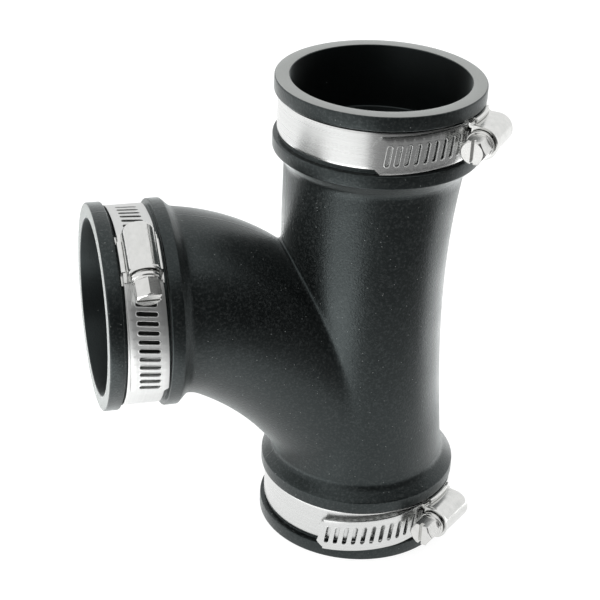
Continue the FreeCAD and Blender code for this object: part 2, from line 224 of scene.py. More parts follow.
def rubber(name, deep, pale, roughness, grain_depth, bloom, dust, seam):
    """Elastomer: two blacks mottled over centimetres, roughness that drifts with them, grain, a
    fine pale bloom, dust on a share of its cells, and the seam of the mould where Y is 0.
    Patterns and depths are in millimetres."""
    material, tree = new_material(name)
    place = node(tree, "TexCoord").outputs["Object"]
    mottle = node(tree, "TexNoise", {"Vector": place, "Scale": 1 / (MOTTLE * MM), "Detail": 4.0})
    shade = node(tree, "Mix", {
        "Factor": mottle.outputs["Fac"], "A": colour(deep), "B": colour(pale)}, data_type="RGBA")
    cell = node(tree, "TexVoronoi", {"Vector": place, "Scale": 1 / (DUST_CELL * MM)})
    near = node(tree, "Math", {0: cell.outputs["Distance"], 1: SPECK_RADIUS}, operation="LESS_THAN")
    pick = node(tree, "SeparateColor", {"Color": cell.outputs["Color"]})
    chosen = node(tree, "Math", {0: pick.outputs["Red"], 1: dust}, operation="LESS_THAN")
    film = node(tree, "TexNoise", {
        "Vector": place, "Scale": 1 / (FILM * MM), "Detail": 3.0, "Roughness": 0.7})
    veil = node(tree, "MapRange", {
        "Value": film.outputs["Fac"], "From Min": 0.48, "From Max": 0.72,
        "To Min": 0.0, "To Max": bloom})
    filmed = node(tree, "Mix", {
        "Factor": veil.outputs["Result"], "A": shade.outputs["Result"], "B": colour("#8e9392"),
    }, data_type="RGBA")
    speck = node(tree, "Math", {0: near.outputs[0], 1: chosen.outputs[0]}, operation="MULTIPLY")
    faint = node(tree, "Math", {0: speck.outputs[0], 1: SPECK_STRENGTH}, operation="MULTIPLY")
    dusty = node(tree, "Mix", {
        "Factor": faint.outputs[0], "A": filmed.outputs["Result"], "B": colour("#a9adab"),
    }, data_type="RGBA")
    gloss = node(tree, "MapRange", {
        "Value": mottle.outputs["Fac"], "From Min": 0.3, "From Max": 0.7,
        "To Min": roughness - GLOSS_DRIFT, "To Max": roughness + GLOSS_DRIFT})
    grain = node(tree, "TexNoise", {"Vector": place, "Scale": 1 / (GRAIN * MM), "Detail": 2.0})
    pits = node(tree, "Bump", {
        "Strength": 1.0, "Distance": grain_depth * MM, "Height": grain.outputs["Fac"]})
    axes = node(tree, "SeparateXYZ", {"Vector": place})
    off_seam = node(tree, "Math", {0: axes.outputs["Y"]}, operation="ABSOLUTE")
    ridge = node(tree, "MapRange", {
        "Value": off_seam.outputs[0], "From Min": 0.0, "From Max": SEAM_HALF_WIDTH * MM,
        "To Min": 1.0, "To Max": 0.0}, interpolation_type="SMOOTHSTEP")
    seamed = node(tree, "Bump", {
        "Strength": 1.0, "Distance": seam * MM, "Height": ridge.outputs["Result"],
        "Normal": pits.outputs["Normal"]})
    surface = node(tree, "BsdfPrincipled", {
        "Base Color": dusty.outputs["Result"], "Roughness": gloss.outputs["Result"],
        "IOR": 1.54, "Specular Tint": colour("#e6f6f7"), "Sheen Weight": 0.7,
        "Sheen Roughness": 0.27, "Sheen Tint": colour("#f0f9f8"),
        "Normal": seamed.outputs["Normal"]})
    node(tree, "OutputMaterial", {"Surface": surface.outputs["BSDF"]})
    return material


# Blasted mould: satin black, whose broad soft reflections show how round the tee is.
skin_rubber = rubber(
    "moulded_black_elastomer", "#070909", "#0e1111", roughness=0.34,
    grain_depth=0.09, bloom=0.12, dust=0.3, seam=0.05)
# Cut with a knife: matt and grey, so that each mouth reads as a pale ring.
cut_rubber = rubber(
    "trimmed_elastomer_face", "#8c8d8b", "#a3a4a2", roughness=0.6,
    grain_depth=0.1, bloom=0.3, dust=0.1, seam=0.0)
# Bores and waterway: the blackest and cleanest, a painted shade so that the bores read as deep.
bore_rubber_painted_dark = rubber(
    "bore_elastomer_painted_shade", "#030404", "#070808", roughness=0.36,
    grain_depth=0.05, bloom=0.0, dust=0.03, seam=0.0)

# %% [markdown]
# ### Stainless steel
# The bands are rolled strip, bright, with fine lines along the strip from the rolls. The lines
# are noise that is stretched along the strip a few hundred times. The housings are stamped from
# softer sheet, which leaves them a little wavy, and the screws are headed from wire. Under the
# branch's tail the strip is painted dark, a painted shade that shows through the slots.

# %% Steel finishes
WANDER = 5
ROLL_DEPTH = 0.01
ROLL_DRIFT = 0.03


def steel(name, tint, worn, roughness, marks, wave_depth):
    """Bright stainless: marks are the sizes of the roll marks along X, Y and Z, and wave_depth
    is how far the surface wanders, all in millimetres."""
    material, tree = new_material(name)
    place = node(tree, "TexCoord").outputs["Object"]
    drawn = node(tree, "Mapping", {
        "Vector": place, "Scale": [1 / (size * MM) for size in marks]}, vector_type="POINT")
    lines = node(tree, "TexNoise", {"Vector": drawn.outputs["Vector"], "Scale": 1.0, "Detail": 3.0})
    wander = node(tree, "TexNoise", {"Vector": place, "Scale": 1 / (WANDER * MM), "Detail": 1.0})
    gloss = node(tree, "MapRange", {
        "Value": lines.outputs["Fac"], "From Min": 0.3, "From Max": 0.7,
        "To Min": roughness - ROLL_DRIFT, "To Max": roughness + ROLL_DRIFT})
    dull = node(tree, "Mix", {
        "Factor": lines.outputs["Fac"], "A": colour(tint), "B": colour(worn)}, data_type="RGBA")
    rolled = node(tree, "Bump", {
        "Strength": 0.12, "Distance": ROLL_DEPTH * MM, "Height": lines.outputs["Fac"]})
    wavy = node(tree, "Bump", {
        "Strength": 1.0, "Distance": wave_depth * MM, "Height": wander.outputs["Fac"],
        "Normal": rolled.outputs["Normal"]})
    surface = node(tree, "BsdfPrincipled", {
        "Base Color": dull.outputs["Result"], "Metallic": 1.0,
        "Roughness": gloss.outputs["Result"], "Normal": wavy.outputs["Normal"]})
    node(tree, "OutputMaterial", {"Surface": surface.outputs["BSDF"]})
    return material


# Real roll lines are finer than this: they are 0.4 mm wide here so that they show.
ALONG_STRIP, ACROSS_STRIP = 125, 0.4
# Rolled strip round Z: a bright sweep from white to grey, with faint lines along it.
strip_about_z = steel(
    "rolled_strip_about_z", "#e0e1e0", "#d0d1d0", roughness=0.26,
    marks=(ALONG_STRIP, ALONG_STRIP, ACROSS_STRIP), wave_depth=0.01)
# The same strip round X, scuffed: its sweep from white to grey is longer and softer.
strip_about_x = steel(
    "rolled_strip_about_x", "#dcdddc", "#d0d1d0", roughness=0.46,
    marks=(ACROSS_STRIP, ALONG_STRIP, ALONG_STRIP), wave_depth=0.01)
# Stamped sheet: bright and slightly wavy, so that its highlights wander.
stamped_steel = steel(
    "stamped_housing_steel", "#e4e4e2", "#cfd0ce", roughness=0.2,
    marks=(2.5, 2.5, 2.5), wave_depth=0.1)
# Headed wire: as bright, with smoother flats that flash one by one.
headed_steel = steel(
    "headed_screw_steel", "#e2e2e0", "#d0d0ce", roughness=0.2,
    marks=(10 / 3, 10 / 3, 10 / 3), wave_depth=0.06)
# Painted shade under the branch's tail: a dark strip, so that the slots over it read as openings.
under_tail_painted_shade_steel = steel(
    "painted_shade_under_tail", "#484846", "#343433", roughness=0.4,
    marks=(2.5, 2.5, 2.5), wave_depth=0.02)

# %% [markdown]
# ## The moulded tee
# The run is a round tube, straight on the branch side and bowed in at its back. The branch is a
# tube along an axis of two arcs. Two tubes could be joined with a boolean and a bevel, but that
# leaves long thin faces that shade badly. Instead each surface is also written as a distance,
# negative inside, and the two distances are blended where they are close. The points of both
# grids are then moved on to the blended surface, which rolls softly in the crease.

# %% Axis of the branch and distances to the surfaces
BEND_X = BRANCH_X + COLLAR_DEPTH + BEND_LEAD
TIGHT_R = 43.6
TURN = math.radians(32.0)
MEET = math.radians(67.78)
WIDE_R = (-BEND_X - TIGHT_R * math.sin(TURN)) / (math.sin(MEET) - math.sin(TURN))
TIGHT_CENTRE = np.array([BEND_X, BRANCH_Z - TIGHT_R])
WIDE_CENTRE = TIGHT_CENTRE + (TIGHT_R - WIDE_R) * np.array([math.sin(TURN), math.cos(TURN)])
TIGHT_LENGTH = TIGHT_R * TURN
ELBOW_LENGTH = TIGHT_LENGTH + WIDE_R * (MEET - TURN)
ELBOW_START_R = BORE_R + 2.2
ELBOW_END_R = BORE_R - 2.6


def elbow_radius(along):
    """Radius of the branch at a length along its axis: it eases down with the square of what
    is left."""
    left = 1 - np.clip(along, 0, None) / ELBOW_LENGTH
    return ELBOW_END_R + (ELBOW_START_R - ELBOW_END_R) * left ** 2


def elbow_point(along, turn, wall):
    """Point of the branch: a circle square to the axis, carried along a straight line, a tight
    arc and a wide arc. turn goes round from +Y to the outside of the bend."""
    tight = np.clip(along, 0, TIGHT_LENGTH) / TIGHT_R
    wide = np.clip(along - TIGHT_LENGTH, 0, None) / WIDE_R
    heading = tight + wide
    x = BEND_X + np.minimum(along, 0) + TIGHT_R * np.sin(tight)
    z = BRANCH_Z - TIGHT_R * (1 - np.cos(tight))
    x = x + WIDE_R * (np.sin(heading) - np.sin(tight))
    z = z - WIDE_R * (np.cos(tight) - np.cos(heading))
    radius = elbow_radius(along) - wall
    out = radius * np.sin(turn)
    return joined(x + out * np.sin(heading), radius * np.cos(turn), z + out * np.cos(heading))


def elbow_place(points):
    """Length along the branch's axis, offset to the outside of the bend and sideways offset."""
    x, y, z = np.moveaxis(points, -1, 0)
    tight_x, tight_z = x - TIGHT_CENTRE[0], z - TIGHT_CENTRE[1]
    wide_x, wide_z = x - WIDE_CENTRE[0], z - WIDE_CENTRE[1]
    tight_turn = np.arctan2(tight_x, tight_z)
    wide_turn = np.arctan2(wide_x, wide_z)
    zones = [x < BEND_X, tight_turn < TURN]
    along = np.select(
        zones, [x - BEND_X, TIGHT_R * tight_turn], TIGHT_LENGTH + WIDE_R * (wide_turn - TURN))
    offsets = [z - BRANCH_Z, np.hypot(tight_x, tight_z) - TIGHT_R]
    return along, np.select(zones, offsets, np.hypot(wide_x, wide_z) - WIDE_R), y


def elbow_distance(points, wall):
    """Distance from the branch's surface: from its axis, less its radius there."""
    along, out, side = elbow_place(points)
    return np.hypot(out, side) - elbow_radius(along) + wall


def back_bow(height):
    """How far the run's back is drawn in: a parabola of the rise from the middle, zero at both
    sockets, times a straight line that makes it deeper above than below."""
    rise = (height - RUN_LENGTH / 2) / (RUN_LENGTH / 2 - COLLAR_DEPTH + BOW_RUNS_PAST)
    return BACK_BOW * np.clip((1 - rise ** 2) * (1 + BACK_LEAN * rise), 0, 2)


def run_point(turn, height, wall):
    """Point of the run: a circle whose back half is flattened to an ellipse. turn starts at the
    branch side."""
    side = FOOT_R - wall
    depth = side - back_bow(height) * (np.cos(turn) < 0)
    return joined(-depth * np.cos(turn), side * np.sin(turn), height)


def run_distance(points, wall):
    """Distance from the run's surface, as if each section were stretched to a circle."""
    x, y, z = np.moveaxis(points, -1, 0)
    side = FOOT_R - wall
    depth = side - back_bow(z) * (x > 0)
    return (np.hypot(x / depth, y / side) - 1) * side


def shoulder_distance(depth, radius):
    """Distance from the cone that joins a socket's collar to the body."""
    fall = (COLLAR_R - FOOT_R) / SHOULDER
    return (radius - COLLAR_R + (depth - COLLAR_DEPTH) * fall) / math.hypot(1, fall)


# %% Blend the distances and move points on to the result
def blended(one, other, reach):
    """Smaller of two distances, rounded off by a parabola where they differ by less than reach."""
    share = np.clip(0.5 + 0.5 * (other - one) / reach, 0, 1)
    return other * (1 - share) + one * share - reach * share * (1 - share)


CREASE_REACH = 1.8
SHOULDER_REACH = 1.0


def outside_distance(points):
    """Distance from the outside of the run, the branch and the three shoulders together."""
    x, y, z = np.moveaxis(points, -1, 0)
    value = blended(run_distance(points, 0), elbow_distance(points, 0), CREASE_REACH)
    across = np.hypot(x, y)
    value = blended(value, shoulder_distance(z, across), SHOULDER_REACH)
    value = blended(value, shoulder_distance(RUN_LENGTH - z, across), SHOULDER_REACH)
    branch_shoulder = shoulder_distance(x - BRANCH_X, np.hypot(y, z - BRANCH_Z))
    return blended(value, branch_shoulder, SHOULDER_REACH)


def inside_distance(points):
    """Distance from the waterways of the run and the branch together."""
    return blended(run_distance(points, WALL), elbow_distance(points, WALL), CREASE_REACH / 2)


def settle(points, distance, rounds=4, step=0.01):
    """Move points straight along the slope of a distance until they lie where it is zero."""
    for _ in range(rounds):
        value = distance(points)
        slope = np.stack([
            distance(points + step * axis) - distance(points - step * axis) for axis in np.eye(3)
        ], -1) / (2 * step)
        points = points - slope * (value / (slope ** 2).sum(-1))[..., None]
    return points


# %% [markdown]
# ### One grid with a hole
# Unrolled, the run is a rectangle, and the branch opens an egg-shaped hole in it. Rays from the
# middle of that hole to the rectangle's border make the columns of one grid: each starts on the
# hole's rim and ends on the border. The branch takes over the same columns at the rim, so both
# tubes and all three sockets share their points and the tee is one closed skin.

# %% Columns that the run, the branch and the sockets share
ROUND_STEPS = 120
SIDE_STEPS = 36
HOLE_Z = 80.0
RAY_STEPS = 400
RUN_CROWDING, BRANCH_CROWDING = 1.6, 1.5


def border(low, high, side):
    """Unrolled border of the run, once round, as (arc length from the branch side, height)."""
    half = math.pi * side
    across = np.linspace(-math.pi, math.pi, ROUND_STEPS + 1) * side
    up = np.linspace(low, high, SIDE_STEPS + 1)
    bottom, right = joined(across, low), joined(half, up)
    top, left = joined(across[::-1], high), joined(-half, up[::-1])
    return np.vstack([bottom[:-1], right[:-1], top[:-1], left[:-1]])


def hole_rim(edge, wall):
    """Where the ray from the hole's middle to each border point leaves the branch: the first
    change of sign of the branch's distance along it, found between two steps."""
    side = FOOT_R - wall
    middle = np.array([0, HOLE_Z])
    share = np.linspace(0, 1, RAY_STEPS)
    on_ray = middle + (edge - middle)[:, None] * share[:, None]
    value = elbow_distance(run_point(on_ray[..., 0] / side, on_ray[..., 1], wall), wall)
    last = np.argmax(value > 0, axis=1)
    rows = np.arange(len(edge))
    before, after = value[rows, last - 1], value[rows, last]
    crossing = share[last - 1] + (share[last] - share[last - 1]) * before / (before - after)
    return middle + (edge - middle) * crossing[:, None]


def tubes(low, high, ahead, wall, rows, distance):
    """Run with its hole, and branch from a flat ring ahead of its bend's start to the hole's
    rim, on one surface. Within the bend a column reaches that ring's plane after an angle whose
    sine is ahead / (bend's radius + offset to its outside). Rows crowd towards the hole by a
    power of their share. Returns both grids and the turn of each column round the branch."""
    side = FOOT_R - wall
    edge = border(low, high, side)
    rim = hole_rim(edge, wall)
    share = (np.arange(rows + 1) / rows)[:, None, None] ** RUN_CROWDING
    flat = rim + (edge - rim) * share
    run = run_point(flat[..., 0] / side, flat[..., 1], wall)
    along, out, across = elbow_place(run[0])
    turn = np.arctan2(out, across)
    offset = (ELBOW_START_R - wall) * np.sin(turn)
    start = ahead if ahead < 0 else TIGHT_R * np.arcsin(ahead / (TIGHT_R + offset))
    share = 1 - (1 - np.arange(rows + 1) / rows)[:, None] ** BRANCH_CROWDING
    branch = elbow_point(start + (along - start) * share, turn, wall)
    branch[-1] = run[0]
    return settle(run, distance), settle(branch, distance), turn


FOOT_SHARE = 0.95
run_out, branch_out, turn_out = tubes(
    FOOT_DEPTH, RUN_LENGTH - FOOT_DEPTH, SHOULDER * FOOT_SHARE - BEND_LEAD,
    wall=0, rows=34, distance=outside_distance)
run_in, branch_in, _ = tubes(
    SOCKET_DEPTH, RUN_LENGTH - SOCKET_DEPTH, SOCKET_DEPTH - COLLAR_DEPTH - BEND_LEAD,
    wall=WALL, rows=20, distance=inside_distance)
gaps = np.degrees(np.abs((np.diff(turn_out) + math.pi) % (2 * math.pi) - math.pi))
print("columns:", len(turn_out), "widest turn between two:", round(gaps.max(), 2), "degrees")

# %% [markdown]
# ### Sockets
# A socket is turned: one outline of depth and radius, carried round its axis. The outline runs
# from the waterway over the pipe stop, up the bore, across the cut face of the mouth, over the
# lip, through the clamp's groove and down the collar. Its small radii catch a line of light.

# %% Sockets, and the tee as one skin
# Finish numbers. The inside of the tee, bores and waterway, takes the blacker rubber: painted
# shade.
SKIN, CUT_FACE, PAINTED_DARK_INSIDE = 0, 1, 2
ON_FACE = 0.05
SHOULDER_ROWS = 6


def socket_outline(waterway_r):
    """(depth, radius) along a socket from the waterway to the foot of its collar."""
    return rounded([
        (SOCKET_DEPTH, waterway_r, 0),
        (SOCKET_DEPTH, BORE_R, 0.5),
        (0, BORE_R, 0.35),
        (0, LIP_R, 0.55),
        (LIP_WIDTH, LIP_R, 0.45),
        (LIP_WIDTH, GROOVE_R, 0.3),
        (COLLAR_START, GROOVE_R, 0.3),
        (COLLAR_START, COLLAR_R, 0.5),
        (COLLAR_DEPTH, COLLAR_R, 0.7),
        (COLLAR_DEPTH + SHOULDER / 4, COLLAR_R - (COLLAR_R - FOOT_R) / 4, 0),
    ])


def turned(outline, turn, at, along, sideways, up):
    """Outline carried round an axis: its depth lies along the axis, its radius across it."""
    depth, radius = outline[:, 0, None, None], outline[:, 1, None, None]
    across = np.cos(turn)[:, None] * np.array(sideways) + np.sin(turn)[:, None] * np.array(up)
    return np.array(at) + depth * np.array(along) + radius * across


def socket(turn, first_ring, last_ring, at, along, sideways, up):
    """Grids of one socket, from the waterway's ring to the first ring of the body outside."""
    stop = np.array(at) + SOCKET_DEPTH * np.array(along)
    outline = socket_outline(np.linalg.norm(first_ring[0] - stop))
    skin = turned(outline, turn, at, along, sideways, up)
    skin[0] = first_ring
    on_face = np.abs(outline[:, 0]) < ON_FACE
    in_bore = outline[:, 1] < BORE_R + ON_FACE
    # The bore's faces take the blacker rubber: painted shade.
    finish = np.where(in_bore[1:] & in_bore[:-1], PAINTED_DARK_INSIDE, SKIN)
    finish = np.where(on_face[1:] & on_face[:-1], CUT_FACE, finish)
    share = np.linspace(0, 1, SHOULDER_ROWS)[:, None, None]
    shoulder = settle(skin[-1] + (last_ring - skin[-1]) * share, outside_distance)
    shoulder[0] = skin[-1]
    return [grid(skin, finish), grid(shoulder, SKIN)]


around = np.linspace(-math.pi, math.pi, ROUND_STEPS + 1)[:-1]
low_ring = slice(0, ROUND_STEPS)
high_ring = slice(ROUND_STEPS + SIDE_STEPS, 2 * ROUND_STEPS + SIDE_STEPS)
tee_grids = [grid(run_out, SKIN), grid(branch_out, SKIN), grid(run_in, PAINTED_DARK_INSIDE), grid(branch_in, PAINTED_DARK_INSIDE)]
tee_grids += socket(
    around, run_in[-1, low_ring], run_out[-1, low_ring],
    (0, 0, 0), (0, 0, 1), (-1, 0, 0), (0, 1, 0))
tee_grids += socket(
    -around, run_in[-1, high_ring], run_out[-1, high_ring],
    (0, 0, RUN_LENGTH), (0, 0, -1), (-1, 0, 0), (0, 1, 0))
tee_grids += socket(
    turn_out, branch_in[0], branch_out[0],
    (BRANCH_X, 0, BRANCH_Z), (1, 0, 0), (0, 1, 0), (0, 0, 1))
make_piece("tee_moulding", tee_grids, [skin_rubber, cut_rubber, bore_rubber_painted_dark],
           "tee", "tee_body")

# %% [markdown]
# ## Worm-drive clamps
# Each clamp is a slotted strip that wraps its socket once and lies over itself, a saddle plate
# under both layers, a stamped housing held down by the saddle's tabs, and a screw whose worm
# reaches down into the slots. A clamp is worked out in its own directions, out towards its
# screw, along the screw and along the ring's axis, and carried to where the joints put it.

# %% Where the clamps sit
joints = {joint["name"]: joint for joint in frame["record"]["behaviour"]["joints"]}


def clamp_place(name):
    """Middle of a clamp's ring, and its directions out to, along and beside the screw."""
    swivel, screw = joints[name + "_clamp_swivel"], joints[name + "_screw_turn"]
    middle = in_mm(swivel["pos_m"])
    out = unit(in_mm(screw["pos_m"]) - middle)
    return middle, np.array([out, screw["axis"], swivel["axis"]])


def make_clamp_piece(clamp, kind, grids, materials, body, stands_for, sharp=40):
    """One piece from grids in a clamp's own directions, carried to its place."""
    middle, directions = clamp_place(clamp)
    grids = [(middle + points @ directions, faces, finishes) for points, faces, finishes in grids]
    make_piece(clamp + kind, grids, materials, clamp + body, clamp + stands_for, sharp)


CLAMPS = {
    "top": {"tail": 71.0, "drift": 1.5, "on_lip": False},
    "branch": {"tail": 85.0, "drift": 1.2, "on_lip": False},
    "bottom": {"tail": 79.0, "drift": 3.2, "on_lip": True},
}
BAND_WIDTH, BAND_THICK, PITCH = 12.7, 0.6, 3.175
SADDLE_HALF, WORM_MIDDLE_D = 8.8, 7.7
RING_R = GROOVE_R + 0.3
INNER_R = RING_R + 0.75
OUTER_R = INNER_R + BAND_THICK + 0.05
SCREW_R = OUTER_R + 4.4
REST_ANGLE = math.degrees(SADDLE_HALF / RING_R)
SLOT_STEP = math.degrees(PITCH / (OUTER_R + BAND_THICK / 2))
SLOT_SLANT = math.atan(PITCH / (math.pi * WORM_MIDDLE_D))
print("a slot every", round(SLOT_STEP, 3), "degrees, slanted by",
      round(math.degrees(SLOT_SLANT), 2))

# %% [markdown]
# ### Slotted strip
# The strip follows a path angle: it starts under the housing, winds once round its groove,
# climbs on to its own start and runs on as a free tail. A plain stretch is its rounded section
# carried along that path. Each slot is a ring-shaped grid that comes in from the strip's outer
# face, rolls over the slot's rim and goes through to the inner face, so it is a real hole with a
# rounded rim that catches the light.

# %% Path of the strip and its section
SETTLE, CLIMB = 20, 27
TAIL_OVER_LIP, TAIL_SINKS = 0.25, 0.45


def eased(angle, start, length):
    """0 before start, 1 past its length, and 3t² - 2t³ in between."""
    t = np.clip((angle - start) / length, 0, 1)
    return t * t * (3 - 2 * t)


def band_point(path, side, out, clamp):
    """Point of a strip: the path angle backwards round the ring, at the radius that the strip
    has there plus out, and beside the ring's middle by side less the tail's drift."""
    tail_r = LIP_R + TAIL_OVER_LIP if clamp["on_lip"] else OUTER_R - TAIL_SINKS
    radius = INNER_R + (RING_R - INNER_R) * eased(path, REST_ANGLE, SETTLE)
    radius = radius + (OUTER_R - RING_R) * eased(path, 360 - REST_ANGLE - CLIMB, CLIMB)
    radius = radius + (tail_r - OUTER_R) * eased(path, 360 + REST_ANGLE, SETTLE) + out
    free = np.clip(path - 360 - REST_ANGLE, 0, None) / (clamp["tail"] - REST_ANGLE)
    turn = -np.radians(path)
    return joined(radius * np.cos(turn), radius * np.sin(turn), side - clamp["drift"] * free)


ACROSS, ALONG = 16, 4
EDGE_R = 0.15
FACE_HALF = BAND_WIDTH / 2 - EDGE_R
corner = EDGE_R * math.sin(math.radians(45))
edge_out = np.array([BAND_THICK - EDGE_R + corner, BAND_THICK - EDGE_R, EDGE_R, EDGE_R - corner])
edge_side = np.array([corner, EDGE_R, EDGE_R, corner])
face_side = np.linspace(-FACE_HALF, FACE_HALF, ACROSS + 1)
strip_out = np.concatenate([0 * face_side + BAND_THICK, edge_out, 0 * face_side, edge_out[::-1]])
strip_side = np.concatenate(
    [face_side, FACE_HALF + edge_side, face_side[::-1], -FACE_HALF - edge_side])


def strip_grid(paths, thin, clamp, finish=0):
    """The section carried along rows of path angles, thinned towards its middle by a share."""
    out = BAND_THICK / 2 + (strip_out - BAND_THICK / 2) * np.array(thin)[:, None]
    return grid(band_point(paths, strip_side, out, clamp), finish)


CORNER_CUT, END_HOLLOW = 3.0, 0.7


def tail_end(clamp):
    """Path angle where the tail ends, by side: both corners are cut off at 45 degrees, and the
    edge between them is hollow by a parabola."""
    chord = BAND_WIDTH / 2 - CORNER_CUT
    hollow = END_HOLLOW * np.clip(1 - (strip_side / chord) ** 2, 0, 1)
    cut = np.clip(np.abs(strip_side) - chord, 0, None) + hollow
    return 360 + clamp["tail"] - np.degrees(cut / OUTER_R)


# %% One slot's cell
SLOT_HALF_WIDTH, SLOT_STRAIGHT = 0.7, 2.8
# (spread, rise above the outer face): flat, up into a burr and down into the slot
BURR = [(0.46, 0), (0.37, 0), (0.3, 0.05), (0.2, 0.07), (0.08, 0.02), (0.02, -0.08), (0, -0.2)]
# (spread, height above the inner face): down the wall and out over a small edge radius
INNER_EDGE = [(0, 0.15), (0.12, 0)]
FIRST_COLUMN = 5


def slot_rim(spread):
    """Outline of a slot as (forward, side): two straight sides and two half circles, all moved
    out by spread, turned to the worm's slant. It starts on the side that lies behind."""
    half = SLOT_HALF_WIDTH + spread
    straight = np.linspace(-SLOT_STRAIGHT, SLOT_STRAIGHT, 7)
    turn = np.pi * np.arange(1, 14) / 14
    forward = np.concatenate([
        0 * straight - half, -half * np.cos(turn), 0 * straight + half, half * np.cos(turn)])
    side = np.concatenate([
        straight, SLOT_STRAIGHT + half * np.sin(turn),
        straight[::-1], -SLOT_STRAIGHT - half * np.sin(turn)])
    sine, cosine = math.sin(SLOT_SLANT), math.cos(SLOT_SLANT)
    return joined(forward * cosine - side * sine, side * cosine + forward * sine)


def slot_cell():
    """Rows of (forward, side, out) from the cell's border on the outer face, over the rim,
    through the slot and back to the border on the inner face."""
    ends = np.linspace(-PITCH / 2, PITCH / 2, ALONG + 1)[1:-1]
    forward = np.concatenate([
        0 * face_side - PITCH / 2, ends, 0 * face_side + PITCH / 2, ends[::-1]])
    side = np.concatenate([
        face_side, 0 * ends + FACE_HALF, face_side[::-1], 0 * ends - FACE_HALF])
    border = np.roll(joined(forward, side), -FIRST_COLUMN, axis=0)
    rows = [joined(*border.T, BAND_THICK)]
    rows += [joined(*slot_rim(spread).T, BAND_THICK + rise) for spread, rise in BURR]
    rows += [joined(*slot_rim(spread).T, out) for spread, out in INNER_EDGE]
    return np.stack(rows + [joined(*border.T, 0)])


# %% Whole strip
STRIP_START = -12
SLOTS_BEHIND = 9
PLAIN_END = 2.6
WRAP_ROWS, TAIL_ROWS = 170, 9
END_THIN = 0.6
# Half width and share of the tail over which the strip under it is painted dark: painted shade.
UNDER_TAIL_SHADE_HALF, UNDER_TAIL_SHADE_SHARE = 3.9, 0.62


def band_grids(clamp):
    """Plain wrap, slotted cells with their two edges, and the shaped tail end of one strip.
    The wrap's faces that lie under the tail's slots, over a share of its length, are painted dark
    as shade."""
    ahead = int((clamp["tail"] - math.degrees(PLAIN_END / OUTER_R)) / SLOT_STEP)
    slots = 360 + SLOT_STEP * np.arange(-SLOTS_BEHIND, ahead + 1)
    first, last = slots[0] - SLOT_STEP / 2, slots[-1] + SLOT_STEP / 2
    wrap = np.linspace(STRIP_START, first, WRAP_ROWS)
    wrap = np.concatenate([[STRIP_START, STRIP_START], wrap])[:, None]
    free = (wrap[1:] - REST_ANGLE) / (clamp["tail"] - REST_ANGLE)
    shaded_under_tail = np.abs(strip_side + clamp["drift"] * free) < UNDER_TAIL_SHADE_HALF
    shaded_under_tail = shaded_under_tail & (free > 0) & (free < UNDER_TAIL_SHADE_SHARE)
    grids = [strip_grid(wrap, [0, END_THIN] + [1] * WRAP_ROWS, clamp, shaded_under_tail.astype(int))]
    forward, side, out = np.moveaxis(slot_cell(), -1, 0)
    for path in slots:
        cell = band_point(path + forward / PITCH * SLOT_STEP, side, out, clamp)
        grids.append(grid(cell))
    paths = np.linspace(first, last, ALONG * len(slots) + 1)[:, None]
    out = np.concatenate([[BAND_THICK], edge_out, [0]])
    side = FACE_HALF + np.concatenate([[0], edge_side, [0]])
    grids += [grid(band_point(paths, sign * side, out, clamp), closed=False) for sign in (-1, 1)]
    share = np.concatenate([np.linspace(0, 1, TAIL_ROWS), [1, 1]])[:, None]
    tail = last + (tail_end(clamp) - last) * share
    grids.append(strip_grid(tail, [1] * TAIL_ROWS + [END_THIN, 0], clamp))
    return grids


for name, clamp in CLAMPS.items():
    strip = strip_about_x if name == "branch" else strip_about_z
    # The branch's strip is painted dark where it lies under its tail: painted shade.
    under = under_tail_painted_shade_steel if name == "branch" else strip
    make_clamp_piece(name, "_slotted_strip", band_grids(clamp), [strip, under],
                     "_clamp", "_band")

# %% [markdown]
# ### Saddle and housing
# Both are stamped from sheet. A sheet is a line through the middle of its thickness, with a
# bend where it was folded, made thick on both sides and carried along the screw. The saddle and
# the housing's flanges curve with the ring, while the arch over the worm is straight. It flares
# a little at the head's end and is drawn in at its far end.

# %% Sheet metal
ARCH_FOOT_R, ARCH_EASE = 36.3, 0.8
FLANGE_HEIGHT = 2.4


def bent_sheet(line, thickness, along, arch=lambda along: 1 + 0 * along):
    """A middle line of (out, side) made thick across itself and carried along the screw. What
    lies within the flange's height follows the ring's circle, sqrt(out² - along²), what lies
    above it is straight, and arch widens or narrows the part about the screw's axis."""
    slope = np.gradient(line, axis=0)
    normal = joined(-slope[:, 1], slope[:, 0]) / np.linalg.norm(slope, axis=1)[:, None]
    loop = np.vstack([line + normal * thickness / 2, (line - normal * thickness / 2)[::-1]])
    middle = np.vstack([line, line[::-1]])
    thin = np.concatenate([[0, END_THIN], np.ones(len(along)), [END_THIN, 0]])[:, None, None]
    section = middle + (loop - middle) * thin
    along = np.concatenate([along[:1], along[:1], along, along[-1:], along[-1:]])[:, None]
    out, side = section[..., 0], section[..., 1]
    widen = 1 + (arch(along) - 1) * np.clip((out - ARCH_FOOT_R) / ARCH_EASE, 0, 1)
    curve = np.clip((SCREW_R - out) / FLANGE_HEIGHT, 0, 1)
    out = out + (out > SCREW_R) * (out - SCREW_R) * (widen - 1)
    out = out + curve * (np.sqrt(out ** 2 - along ** 2) - out)
    return grid(joined(out, along, side * widen))


SHEET, TAB_SHEET = 0.7, 0.6
PLATE_R, PLATE_HALF = RING_R + 0.35, 6.95
TAB_SIDE, TAB_TOP_R, TAB_END, TAB_HALF = 6.71, 36.45, 5.51, 5.5


